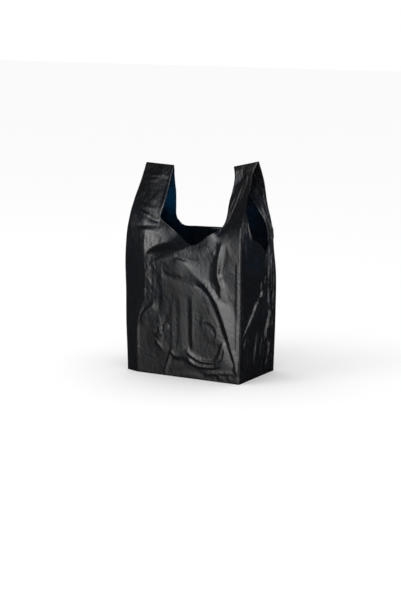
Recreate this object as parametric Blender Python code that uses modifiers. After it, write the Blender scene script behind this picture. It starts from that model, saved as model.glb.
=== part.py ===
"""Vest-style plastic carrier bag, standing open on its flat base.

The bag is one length of blown film tube. Going round it there is a front panel, a right gusset, a
back panel and a left gusset. A U-cut through all plies leaves the mouth and two handles, and it also
takes the middle out of each gusset, so a handle is two folded bands with a slot between them. Each
handle ends in a straight weld across its four plies, and the base is welded along its middle.

Metres, +Z up, origin at the middle of the base.
"""
import math

import bmesh
import bpy
from mathutils import Matrix, Vector

# The body as it stands
BASE_WIDTH = 0.295
BASE_DEPTH = 0.162
MOUTH_HEIGHT = 0.316
MOUTH_SAG = 0.021
NOTCH_DROP = 0.040
SHOULDER_HEIGHT = 0.262
CREASE_INSET = 0.036
CREASE_TURN = 0.011

# The handles, cut from the same tube
HANDLE_WIDTH = 0.068
NOTCH_WIDTH = 0.025
HANDLE_RISE = 0.147
RIGHT_HANDLE_LIFT = 0.0105
LEFT_HANDLE_LEAN = 0.012
RIGHT_HANDLE_LEAN = 0.004
LEFT_SEAL_TILT = math.radians(2.4)
RIGHT_SEAL_TILT = math.radians(14.0)
RIGHT_SEAL_TURN = math.radians(-6.0)
STRIP_BOW = 0.006

# The film and its welds
WALL = 0.0005
FOLD_RADIUS = 0.0028
PLY_GAP = 0.0004
SEAL_HEIGHT = 0.008
SEAL_SKIN = 0.0003
END_IN_WELD = 0.6
BASE_WELD_WIDTH = 0.008
BASE_WELD_HEIGHT = 0.0010
BASE_WELD_END_GAP = 0.004

# How finely the cage is divided
BODY_ROWS = 3
HANDLE_ROWS = 5
SUBDIVISIONS = 1

HALF_WIDTH = BASE_WIDTH / 2
HALF_DEPTH = BASE_DEPTH / 2
INNER_PLY = PLY_GAP / 2
OUTER_PLY = INNER_PLY + 2 * WALL + PLY_GAP

FILM_COLOUR = (0.018, 0.019, 0.021, 1.0)
FILM_ROUGHNESS = 0.32


def column_places():
    """Name each vertical line of the cage, in order round the tube, with its flat position."""
    layer = (BASE_DEPTH - NOTCH_WIDTH) / 2
    cut = HANDLE_WIDTH
    width = BASE_WIDTH
    third = (width - 2 * cut) / 4
    front = [
        ("front_left", 0.0),
        ("front_crease", CREASE_INSET),
        ("front_cut_left", cut),
        ("front_rise_left", cut + third),
        ("front_middle", width / 2),
        ("front_rise_right", width - cut - third),
        ("front_cut_right", width - cut),
        ("front_strip_right", width - cut / 2),
        ("front_right", width),
    ]
    back = [
        ("back_right", 0.0),
        ("back_strip_right", cut / 2),
        ("back_cut_right", cut),
        ("back_rise_right", cut + third),
        ("back_middle", width / 2),
        ("back_rise_left", width - cut - third),
        ("back_cut_left", width - cut),
        ("back_strip_left", width - cut / 2),
        ("back_left", width),
    ]
    right = [
        ("right_front", FOLD_RADIUS),
        ("right_strip_front", layer / 2),
        ("right_cut_front", layer),
        ("right_notch", BASE_DEPTH / 2),
        ("right_cut_back", BASE_DEPTH - layer),
        ("right_strip_back", BASE_DEPTH - layer / 2),
        ("right_back", BASE_DEPTH - FOLD_RADIUS),
    ]
    left = [(name.replace("right", "left"), place) for name, place in right]
    left = [(name, BASE_DEPTH - place) for name, place in reversed(left)]
    places = list(front)
    places += [(name, width + place) for name, place in right]
    places += [(name, width + BASE_DEPTH + place) for name, place in back]
    places += [(name, 2 * width + BASE_DEPTH + place) for name, place in left]
    return places


COLUMNS = column_places()
COLUMN_NAMES = [name for name, place in COLUMNS]
FRONT = COLUMN_NAMES[0:9]
RIGHT = COLUMN_NAMES[9:16]
BACK = COLUMN_NAMES[16:25]
LEFT = COLUMN_NAMES[25:32]
FOLD_COLUMNS = ("front_left", "front_right", "right_front", "right_back")
FOLD_COLUMNS += ("back_right", "back_left", "left_back", "left_front")


def fill_section(known):
    """Complete a ring of the cage: lines with no point of their own lie between their neighbours."""
    perimeter = 2 * (BASE_WIDTH + BASE_DEPTH)
    count = len(COLUMNS)
    section = {}
    for index, (name, place) in enumerate(COLUMNS):
        if name in known:
            section[name] = known[name]
            continue
        before = index
        while COLUMNS[before % count][0] not in known:
            before -= 1
        after = index
        while COLUMNS[after % count][0] not in known:
            after += 1
        start = COLUMNS[before % count][1] - (perimeter if before < 0 else 0.0)
        end = COLUMNS[after % count][1] + (perimeter if after >= count else 0.0)
        share = (place - start) / (end - start)
        first = known[COLUMNS[before % count][0]]
        last = known[COLUMNS[after % count][0]]
        section[name] = first.lerp(last, share)
    return section


def at(side_x, side_y, height, out_x=0.0, out_y=0.0):
    """A point near a corner or face of the upright box; out_x and out_y lead away from the middle."""
    x = side_x * HALF_WIDTH + out_x * math.copysign(1.0, side_x)
    y = side_y * HALF_DEPTH + out_y * math.copysign(1.0, side_y)
    return Vector((x, y, height))


def folded_corner(points, corner, front_name, side_name):
    """Put the two lines of a main fold either side of its corner."""
    inward = -math.copysign(FOLD_RADIUS, corner.x)
    along = -math.copysign(FOLD_RADIUS, corner.y)
    points[front_name] = corner + Vector((inward, 0.0, 0.0))
    points[side_name] = corner + Vector((0.0, along, 0.0))


def base_section():
    """The rectangle on the floor, with the front's left margin turned back along its crease."""
    points = {}
    folded_corner(points, at(-1, -1, 0.0, out_y=-CREASE_TURN), "front_left", "left_front")
    points["front_crease"] = at(-1, -1, 0.0, out_x=-CREASE_INSET)
    folded_corner(points, at(1, -1, 0.0), "front_right", "right_front")
    folded_corner(points, at(1, 1, 0.0), "back_right", "right_back")
    folded_corner(points, at(-1, 1, 0.0), "back_left", "left_back")
    return fill_section(points)


def shoulder_section():
    """The body just below the crease that runs from the mouth to the left margin."""
    height = SHOULDER_HEIGHT
    points = {}
    left = at(-1, -1, height, out_x=0.002, out_y=-CREASE_TURN)
    folded_corner(points, left, "front_left", "left_front")
    points["front_crease"] = at(-1, -1, height - 0.003, out_x=-CREASE_INSET - 0.016)
    points["front_middle"] = at(0.04, -1, height + 0.004, out_y=0.004)
    folded_corner(points, at(1, -1, height, out_x=0.002), "front_right", "right_front")
    points["right_notch"] = at(1, 0.1, height - NOTCH_DROP / 2, out_x=0.003)
    folded_corner(points, at(1, 1, height, out_x=0.003, out_y=-0.002), "back_right", "right_back")
    points["back_middle"] = at(0.04, 1, height, out_y=0.004)
    folded_corner(points, at(-1, 1, height, out_x=0.002, out_y=-0.004), "back_left", "left_back")
    points["left_notch"] = at(-1, 0.04, height - NOTCH_DROP / 2, out_x=0.003)
    return fill_section(points)


def mouth_section():
    """The cut edge of the mouth and the foot of each handle band, with the slots at the sides."""
    height = MOUTH_HEIGHT
    notch = height - NOTCH_DROP
    cut = HANDLE_WIDTH
    points = {}
    folded_corner(points, at(-1, -1, height, out_y=-0.016), "front_left", "left_front")
    points["front_crease"] = at(-1, -1, height + 0.004, out_x=-0.044, out_y=-0.014)
    points["front_cut_left"] = at(-1, -1, height + 0.006, out_x=-cut - 0.014, out_y=-0.020)
    points["front_rise_left"] = at(-0.05, -1, height - MOUTH_SAG / 3, out_y=-0.016)
    points["front_middle"] = at(0.18, -1, height - MOUTH_SAG, out_y=-0.008)
    points["front_rise_right"] = at(0.39, -1, height - MOUTH_SAG / 6, out_y=-0.003)
    points["front_cut_right"] = at(1, -1, height + 0.016, out_x=-cut + 0.007, out_y=-0.013)
    folded_corner(points, at(1, -1, height + 0.017, out_x=0.001), "front_right", "right_front")
    points["right_strip_front"] = at(1, -0.55, height + 0.002, out_x=0.003)
    points["right_cut_front"] = at(1, 0, height - 0.016, out_x=0.0025)
    points["right_notch"] = at(1, 0.5, notch, out_x=0.0025)
    points["right_cut_back"] = at(1, 0.58, height - 0.019, out_x=-0.007)
    folded_corner(points, at(1, 1, height + 0.003, out_x=0.002, out_y=-0.010), "back_right", "right_back")
    points["back_cut_right"] = at(1, 1, height + 0.002, out_x=-cut)
    points["back_middle"] = at(0, 1, height, out_y=0.001)
    points["back_cut_left"] = at(-1, 1, height - 0.005, out_x=-cut)
    folded_corner(points, at(-1, 1, height, out_x=0.002, out_y=-0.012), "back_left", "left_back")
    points["left_cut_back"] = at(-1, 0.2, height - 0.024, out_x=-0.001)
    points["left_notch"] = at(-1, 0.04, notch + 0.006, out_x=0.003)
    points["left_cut_front"] = at(-1, -0.12, height - 0.024, out_x=-0.001)
    return fill_section(points)


def body_rows():
    """Rings from the floor to the mouth, with the walls a little full between them."""
    base = base_section()
    shoulder = shoulder_section()
    rows = [base]
    for step in range(1, BODY_ROWS):
        share = step / BODY_ROWS
        rows.append({name: base[name].lerp(shoulder[name], share) for name in COLUMN_NAMES})
    return rows + [shoulder, mouth_section()]


class Handle:
    """One handle's weld: where it is, which way it runs, and the four plies across it."""

    def __init__(self, side, top_middle, tilt, turn):
        self.side = side
        self.prefix = "left" if side < 0 else "right"
        outward = Vector((side * math.cos(tilt), 0.0, math.sin(tilt)))
        self.outward = Matrix.Rotation(side * turn, 3, "Z") @ outward
        self.back = Vector((0.0, 0.0, 1.0)).cross(self.outward).normalized()
        if self.back.y < 0:
            self.back = -self.back
        self.up = self.outward.cross(self.back).normalized()
        if self.up.z < 0:
            self.up = -self.up
        self.top_middle = top_middle

    def ply_point(self, along, ply, rise):
        """along is 0 at the cut edge and 1 at the fold; rise is 0 at the weld's lower edge."""
        run = (along - 0.5) * HANDLE_WIDTH
        down = (rise - 1.0) * SEAL_HEIGHT
        return self.top_middle + self.outward * run + self.back * ply + self.up * down

    def bands(self):
        """The lines of the front and back bands, in order round the tube, with their ply places."""
        side = self.prefix
        front = [
            (f"front_cut_{side}", 0.0, -OUTER_PLY),
            ("front_crease" if side == "left" else "front_strip_right", 0.5, -OUTER_PLY),
            (f"front_{side}", 1.0, -OUTER_PLY),
            (f"{side}_front", 1.0, -INNER_PLY),
            (f"{side}_strip_front", 0.5, -INNER_PLY),
            (f"{side}_cut_front", 0.0, -INNER_PLY),
        ]
        back = [
            (f"{side}_cut_back", 0.0, INNER_PLY),
            (f"{side}_strip_back", 0.5, INNER_PLY),
            (f"{side}_back", 1.0, INNER_PLY),
            (f"back_{side}", 1.0, OUTER_PLY),
            (f"back_strip_{side}", 0.5, OUTER_PLY),
            (f"back_cut_{side}", 0.0, OUTER_PLY),
        ]
        if side == "left":
            front.reverse()
            back.reverse()
        return [front, back]


def handles():
    """Both handles as the bag stands: the left one upright, the right one leaning with its bag."""
    top = MOUTH_HEIGHT + HANDLE_RISE
    left_x = -HALF_WIDTH + HANDLE_WIDTH / 2 + LEFT_HANDLE_LEAN
    right_x = HALF_WIDTH - HANDLE_WIDTH / 2 + RIGHT_HANDLE_LEAN
    left = Handle(-1, Vector((left_x, 0.0, top)), LEFT_SEAL_TILT, 0.0)
    right_top = Vector((right_x, 0.0, top + RIGHT_HANDLE_LIFT))
    right = Handle(1, right_top, RIGHT_SEAL_TILT, RIGHT_SEAL_TURN)
    return [left, right]


def add_body(mesh, rows):
    """The tube's walls and the base, as one open cage. Returns its rings of vertices by name."""
    rings = [{name: mesh.verts.new(row[name]) for name in COLUMN_NAMES} for row in rows]
    count = len(COLUMN_NAMES)
    for lower, upper in zip(rings, rings[1:]):
        for index, name in enumerate(COLUMN_NAMES):
            beside = COLUMN_NAMES[(index + 1) % count]
            mesh.faces.new((lower[name], lower[beside], upper[beside], upper[name]))
    add_base(mesh, rings[0])
    crease_lines(mesh, [[ring[name] for ring in rings] for name in FOLD_COLUMNS])
    floor_ring = [rings[0][name] for name in COLUMN_NAMES]
    crease_lines(mesh, [floor_ring + [floor_ring[0]]])
    return rings


def add_base(mesh, ring):
    """The base as a grid inside the bottom ring, face down."""
    columns = list(zip(FRONT, reversed(BACK)))
    rows = list(zip(reversed(LEFT), RIGHT))
    grid = []
    for front_name, back_name in columns:
        line = []
        for left_name, right_name in rows:
            x = (ring[front_name].co.x + ring[back_name].co.x) / 2
            y = (ring[left_name].co.y + ring[right_name].co.y) / 2
            line.append(mesh.verts.new((x, y, 0.0)))
        grid.append(line)
    for line, beside in zip(grid, grid[1:]):
        for index in range(len(rows) - 1):
            mesh.faces.new((line[index], line[index + 1], beside[index + 1], beside[index]))
    for index in range(len(columns) - 1):
        here, there = columns[index], columns[index + 1]
        mesh.faces.new((ring[here[0]], grid[index][0], grid[index + 1][0], ring[there[0]]))
        mesh.faces.new((grid[index][-1], ring[here[1]], ring[there[1]], grid[index + 1][-1]))
    for index in range(len(rows) - 1):
        here, there = rows[index], rows[index + 1]
        mesh.faces.new((ring[here[0]], ring[there[0]], grid[0][index + 1], grid[0][index]))
        mesh.faces.new((grid[-1][index], grid[-1][index + 1], ring[there[1]], ring[here[1]]))
    mesh.faces.new((ring[FRONT[0]], ring[LEFT[-1]], grid[0][0]))
    mesh.faces.new((ring[FRONT[-1]], grid[-1][0], ring[RIGHT[0]]))
    mesh.faces.new((ring[BACK[0]], ring[RIGHT[-1]], grid[-1][-1]))
    mesh.faces.new((ring[BACK[-1]], grid[0][-1], ring[LEFT[0]]))


def add_handle(mesh, handle, foot):
    """Carry each band of a handle from the mouth up into its weld."""
    for band in handle.bands():
        rings = [[foot[name] for name, along, ply in band]]
        for step in range(1, HANDLE_ROWS + 1):
            share = step / HANDLE_ROWS
            bow = STRIP_BOW * 4 * share * (1 - share)
            ring = []
            for name, along, ply in band:
                point = foot[name].co.lerp(handle.ply_point(along, ply, 0.0), share)
                if abs(ply) == OUTER_PLY:
                    point += handle.back * math.copysign(bow, ply)
                ring.append(mesh.verts.new(point))
            rings.append(ring)
        inside_weld = [handle.ply_point(along, ply, END_IN_WELD) for name, along, ply in band]
        rings.append([mesh.verts.new(point) for point in inside_weld])
        for lower, upper in zip(rings, rings[1:]):
            for index in range(len(band) - 1):
                mesh.faces.new((lower[index], lower[index + 1], upper[index + 1], upper[index]))
        folds = [index for index, line in enumerate(band) if line[0] in FOLD_COLUMNS]
        crease_lines(mesh, [[ring[index] for ring in rings] for index in folds])


def crease_lines(mesh, lines):
    """Keep these lines of the cage sharp when it is subdivided."""
    layer = mesh.edges.layers.float.get("crease_edge") or mesh.edges.layers.float.new("crease_edge")
    for line in lines:
        for start, end in zip(line, line[1:]):
            edge = mesh.edges.get((start, end))
            edge[layer] = 1.0


def film_cage():
    """The whole film as a coarse open cage."""
    mesh = bmesh.new()
    rings = add_body(mesh, body_rows())
    for handle in handles():
        add_handle(mesh, handle, rings[-1])
    data = bpy.data.meshes.new("carrier_bag")
    mesh.to_mesh(data)
    mesh.free()
    return data


def film_material():
    material = bpy.data.materials.new("black_film")
    material.use_nodes = True
    shader = material.node_tree.nodes["Principled BSDF"]
    shader.inputs["Base Color"].default_value = FILM_COLOUR
    shader.inputs["Roughness"].default_value = FILM_ROUGHNESS
    shader.inputs["Metallic"].default_value = 0.0
    return material


def weld_block(name, matrix, size, collection):
    """A box that a weld fuses the plies into; it joins the film and is left out on its own."""
    mesh = bmesh.new()
    bmesh.ops.create_cube(mesh, size=1.0)
    bmesh.ops.scale(mesh, vec=size, verts=mesh.verts)
    bmesh.ops.transform(mesh, matrix=matrix, verts=mesh.verts)
    data = bpy.data.meshes.new(name)
    mesh.to_mesh(data)
    mesh.free()
    block = bpy.data.objects.new(name, data)
    block.hide_render = True
    block.display_type = "WIRE"
    collection.objects.link(block)
    return block


def weld_blocks(collection):
    """The two handle welds and the weld along the middle of the base."""
    blocks = []
    thickness = 2 * (OUTER_PLY + SEAL_SKIN)
    width = HANDLE_WIDTH + 2 * SEAL_SKIN
    for handle in handles():
        turn = Matrix((handle.outward, handle.back, handle.up)).transposed().to_4x4()
        middle = handle.top_middle - handle.up * (SEAL_HEIGHT / 2)
        matrix = Matrix.Translation(middle) @ turn
        size = (width, thickness, SEAL_HEIGHT)
        blocks.append(weld_block(f"{handle.prefix}_handle_weld", matrix, size, collection))
    size = (BASE_WIDTH - 2 * BASE_WELD_END_GAP, BASE_WELD_WIDTH, BASE_WELD_HEIGHT)
    lift = WALL / 2 + BASE_WELD_HEIGHT / 2
    blocks.append(weld_block("base_weld", Matrix.Translation((0.0, 0.0, lift)), size, collection))
    return blocks


def build():
    for thing in list(bpy.data.objects):
        bpy.data.objects.remove(thing)
    parts = bpy.data.collections.new("plastic_carrier_bag")
    tools = bpy.data.collections.new("weld_shapes")
    bpy.context.scene.collection.children.link(parts)
    bpy.context.scene.collection.children.link(tools)

    bag = bpy.data.objects.new("carrier_bag", film_cage())
    bag.data.materials.append(film_material())
    parts.objects.link(bag)

    smooth = bag.modifiers.new("soft film", "SUBSURF")
    smooth.levels = SUBDIVISIONS
    smooth.render_levels = SUBDIVISIONS
    shell = bag.modifiers.new("film wall", "SOLIDIFY")
    shell.thickness = WALL
    shell.offset = -1.0
    shell.use_even_offset = True
    for block in weld_blocks(tools):
        join = bag.modifiers.new(block.name, "BOOLEAN")
        join.operation = "UNION"
        join.solver = "EXACT"
        join.object = block
    bag.data.shade_smooth()


build()
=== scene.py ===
"""Looks for the plastic carrier bag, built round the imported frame.

The bag is one length of black film tube, so it is one piece here. The film is laid out as a grid over
its flat pattern: s runs round the tube (front, right gusset, back, left gusset) and t runs up it.
Guide lines carry that grid to where the film stands, creases, folds and facets push it in and out,
and a thin wall closes it. Metres and degrees, unless a name ends in _mm.
"""
import math

import bmesh
import bpy
import numpy as np
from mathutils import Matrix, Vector


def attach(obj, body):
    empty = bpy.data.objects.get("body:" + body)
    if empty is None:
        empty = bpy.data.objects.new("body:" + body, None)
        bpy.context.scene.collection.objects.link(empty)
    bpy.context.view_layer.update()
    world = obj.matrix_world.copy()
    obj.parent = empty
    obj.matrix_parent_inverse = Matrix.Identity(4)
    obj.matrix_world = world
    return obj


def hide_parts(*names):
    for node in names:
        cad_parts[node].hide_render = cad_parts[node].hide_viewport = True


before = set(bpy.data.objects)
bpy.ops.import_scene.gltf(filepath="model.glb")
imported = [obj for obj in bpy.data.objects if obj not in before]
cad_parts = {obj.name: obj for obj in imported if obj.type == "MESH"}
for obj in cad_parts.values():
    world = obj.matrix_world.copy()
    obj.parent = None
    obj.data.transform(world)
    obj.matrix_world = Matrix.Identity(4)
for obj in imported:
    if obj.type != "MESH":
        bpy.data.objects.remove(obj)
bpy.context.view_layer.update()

# The flat pattern and the film
FRONT_WIDTH_MM = 295
GUSSET_WIDTH_MM = 162
PATTERN_HEIGHT_MM = 480
WELD_TOP_MM = 478
FRONT_WIDTH = FRONT_WIDTH_MM / 1000
GUSSET_WIDTH = GUSSET_WIDTH_MM / 1000
TUBE_ROUND = 2 * (FRONT_WIDTH + GUSSET_WIDTH)
WELD_TOP = WELD_TOP_MM / 1000
ROWS = 180
ROW_STEP = WELD_TOP / ROWS
FILM_WALL = 0.00014
# A face across the tube's seam has places before the first s and after the second one
SEAM_START = 0.02
SEAM_END = 0.8

# Each guide is a line up the film: its place across the panel, the number of columns from the guide
# before it, and points (t, x, y, z), or (t, x, y) where z is t. The last guide of a panel is the fold
# that it shares with the next one, and None closes the tube on the first guide.
FRONT_GUIDES = [
    (0, 0, [(0, -.145, -.0702), (.05, -.1462, -.0704), (.108, -.1482, -.0705), (.181, -.1478, -.071),
        (.2655, -.1492, -.07), (.335, -.1474, -.06), (.385, -.1433, -.042, .382),
        (.43, -.1383, -.022, .422), (.478, -.1353, -.0009, .4639)]),
    (.036, 17, [(0, -.1126, -.0812), (.095, -.1132, -.0812), (.118, -.1104, -.0812),
        (.165, -.0995, -.0812), (.255, -.0949, -.0812), (.335, -.108, -.063, .334),
        (.385, -.1055, -.045, .381), (.43, -.1035, -.024, .422), (.478, -.0997, -.0012, .4625)]),
    (.08, 21, [(0, -.0675, -.0812), (.131, -.0672, -.0815), (.262, -.0675, -.081),
        (.292, -.0735, -.066, .289), (.32, -.0715, -.058, .318), (.351, -.0687, -.051, .35),
        (.385, -.0625, -.043, .38), (.43, -.0635, -.02, .4205), (.46, -.063, -.008, .446),
        (.478, -.0625, -.0012, .461)]),
    (.113, 16, [(0, -.0345, -.0812), (.131, -.0345, -.082), (.27, -.0345, -.0812),
        (.3, -.038, -.063, .296), (.335, -.0363, -.056, .33)]),
    (.144, 15, [(0, -.0035, -.0812), (.131, -.0035, -.082), (.281, -.0035, -.0812),
        (.313, -.004, -.061, .3095)]),
    (.175, 15, [(0, .0275, -.0812), (.131, .0275, -.082), (.275, .0275, -.0812),
        (.3, .0273, -.073, .2975)]),
    (.203, 13, [(0, .0555, -.0812), (.131, .0555, -.082), (.262, .0555, -.082),
        (.315, .0553, -.078, .3135)]),
    (.2294, 12, [(0, .0819, -.0812), (.131, .0819, -.082), (.262, .0819, -.082),
        (.333, .0819, -.079, .332)]),
    (.236, 3, [(0, .0885, -.0812), (.131, .0885, -.082), (.262, .0885, -.082), (.32, .088, -.073, .319),
        (.345, .0925, -.057, .3387), (.362, .0925, -.043, .352), (.378, .0895, -.03, .367),
        (.4, .0878, -.02, .388), (.433, .0925, -.012, .4188), (.457, .094, -.006, .443),
        (.478, .0886, -.0012, .4658)]),
    (.265, 14, [(0, .1178, -.0812), (.131, .1182, -.082), (.262, .1185, -.082), (.302, .118, -.08),
        (.34, .1168, -.069, .339), (.379, .116, -.045, .374), (.421, .1172, -.021, .416),
        (.452, .1185, -.009, .447), (.478, .119, -.0012, .473)]),
    (.295, 14, [(0, .1476, -.081), (.188, .1498, -.0812), (.302, .1493, -.0812),
        (.336, .1467, -.075, .3396), (.359, .1449, -.062, .362), (.379, .1451, -.05, .382),
        (.397, .1428, -.04, .3986), (.421, .143, -.027, .4226), (.452, .1408, -.01, .4542),
        (.478, .1495, -.0012, .4802)]),
]
RIGHT_GUIDES = [
    (.025, 8, [(0, .1475, -.056), (.131, .1492, -.056), (.262, .1508, -.056), (.302, .1515, -.056),
        (.335, .1492, -.057, .334), (.36, .145, -.051), (.4, .138, -.031), (.44, .129, -.014),
        (.478, .119, -.0004, .473)]),
    (.05, 8, [(0, .1475, -.031), (.131, .1492, -.03), (.262, .1515, -.026), (.3, .1524, -.028, .3025),
        (.312, .1522, -.0305, .3135), (.324, .1511, -.035), (.35, .1472, -.04, .3488),
        (.385, .13, -.024, .383), (.42, .112, -.011, .418), (.45, .099, -.004, .446),
        (.478, .089, -.0004, .466)]),
    (.066, 5, [(0, .1475, -.015), (.131, .1492, -.013), (.25, .1515, -.006), (.296, .154, 0, .2954)]),
    (.081, 5, [(0, .1475, 0), (.131, .1492, .008), (.23, .15, .034), (.2745, .1508, .045, .275)]),
    (.0935, 4, [(0, .1475, .0125), (.131, .1492, .021), (.262, .1508, .0445), (.3, .15, .0455, .297),
        (.314, .1492, .044, .3114), (.343, .1483, .036, .3383), (.382, .1332, .024, .3748),
        (.416, .1189, .012, .4076), (.453, .106, .004, .444), (.478, .089, .0004, .466)]),
    (.128, 12, [(0, .1475, .047), (.131, .1495, .049), (.262, .151, .06), (.3, .15, .058, .299),
        (.345, .1492, .047, .341), (.382, .1415, .033, .378), (.416, .1345, .019, .414),
        (.453, .129, .0075, .452), (.478, .119, .0004, .473)]),
    (.162, 12, [(0, .1475, .081), (.151, .152, .0812), (.226, .1518, .0812), (.28, .1485, .077),
        (.326, .15, .066, .329), (.377, .1494, .045, .38), (.435, .1522, .02, .438),
        (.478, .1495, .0012, .4802)]),
]
BACK_GUIDES = [
    (.034, 8, [(0, .1135, .081), (.131, .1138, .083), (.262, .114, .083), (.316, .1155, .077),
        (.37, .1185, .055, .367), (.43, .1215, .026, .427), (.478, .119, .0012, .473)]),
    (.068, 8, [(0, .0795, .081), (.131, .0798, .084), (.262, .08, .0845), (.318, .08, .081),
        (.375, .0835, .057, .372), (.43, .0875, .026, .425), (.478, .0889, .0012, .4658)]),
    (.1475, 19, [(0, 0, .081), (.131, 0, .084), (.262, 0, .085), (.316, 0, .082)]),
    (.2245, 18, [(0, -.077, .081), (.131, -.0772, .084), (.262, -.0775, .0835), (.3, -.083, .081),
        (.322, -.095, .076, .32), (.34, -.0975, .067, .337), (.37, -.0895, .052, .365),
        (.402, -.081, .037, .396), (.45, -.0715, .0145, .436), (.478, -.0639, .0012, .461)]),
    (.259, 8, [(0, -.1115, .081), (.131, -.112, .082), (.262, -.1125, .08), (.316, -.119, .073),
        (.345, -.1205, .062, .343), (.37, -.115, .052, .367), (.43, -.1045, .025, .425),
        (.478, -.0997, .0012, .4625)]),
    (.295, 9, [(0, -.1475, .081), (.131, -.1492, .079), (.262, -.1495, .077), (.316, -.1493, .067),
        (.37, -.1455, .05, .367), (.43, -.139, .024, .425), (.478, -.1353, .0012, .4639)]),
]
LEFT_GUIDES = [
    (.034, 5, [(0, -.1475, .047), (.131, -.149, .047), (.262, -.15, .046), (.3, -.149, .04),
        (.335, -.14, .036, .333), (.39, -.126, .021, .388), (.43, -.114, .012, .425),
        (.478, -.0997, .0004, .4625)]),
    (.0685, 6, [(0, -.1475, .0125), (.131, -.149, .0125), (.262, -.15, .013), (.292, -.1485, .016),
        (.335, -.122, .012, .333), (.39, -.098, .006, .388), (.43, -.082, .003, .425),
        (.478, -.0641, .0004, .461)]),
    (.081, 3, [(0, -.1475, 0), (.131, -.149, .001), (.282, -.1505, .003)]),
    (.0935, 3, [(0, -.1475, -.0125), (.131, -.149, -.012), (.262, -.15, -.011), (.292, -.1485, -.0097),
        (.335, -.122, -.01, .333), (.39, -.098, -.006, .388), (.43, -.082, -.003, .425),
        (.478, -.0641, -.0004, .461)]),
    (.128, 5, [(0, -.148, -.042), (.131, -.1495, -.042), (.262, -.1502, -.042), (.3, -.149, -.036),
        (.335, -.14, -.034, .333), (.39, -.126, -.02, .388), (.43, -.114, -.012, .425),
        (.478, -.0997, -.0004, .4625)]),
    (.162, 5, None),
]
PANELS = [(FRONT_GUIDES, FRONT_WIDTH), (RIGHT_GUIDES, GUSSET_WIDTH),
          (BACK_GUIDES, FRONT_WIDTH), (LEFT_GUIDES, GUSSET_WIDTH)]
FRONT, RIGHT, BACK, LEFT = range(4)

# Where the die cut ends the film: (place across the panel, t) from one cut edge to the other
FRONT_CUT = [(.08, .351), (.09, .344), (.113, .333), (.144, .311), (.16, .302), (.175, .298),
             (.19, .303), (.203, .313), (.2294, .331), (.236, .345)]
BACK_CUT = [(.068, .338), (.071, .329), (.077, .321), (.086, .3165), (.1, .316), (.1475, .3165),
            (.195, .316), (.208, .3155), (.217, .3165), (.2225, .322), (.2245, .333)]
RIGHT_CUT = [(.05, .312), (.058, .304), (.066, .295), (.074, .284), (.081, .2745), (.0873, .288),
             (.0935, .3)]
LEFT_CUT = [(.0685, .294), (.0747, .287), (.081, .282), (.0873, .287), (.0935, .294)]
CUTS = [(FRONT, FRONT_CUT), (RIGHT, RIGHT_CUT), (BACK, BACK_CUT), (LEFT, LEFT_CUT)]

# How the film is rounded between its folds: turns of smoothing across and up, how far up the fold
# beside the left margin stays sharp, and how far below a cut's ends its edges are held
TURNS_ACROSS = 24
TURNS_UP = 3
MARGIN_FOLD_TOP = 0.262
HELD_BELOW_CUT = 0.02

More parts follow.
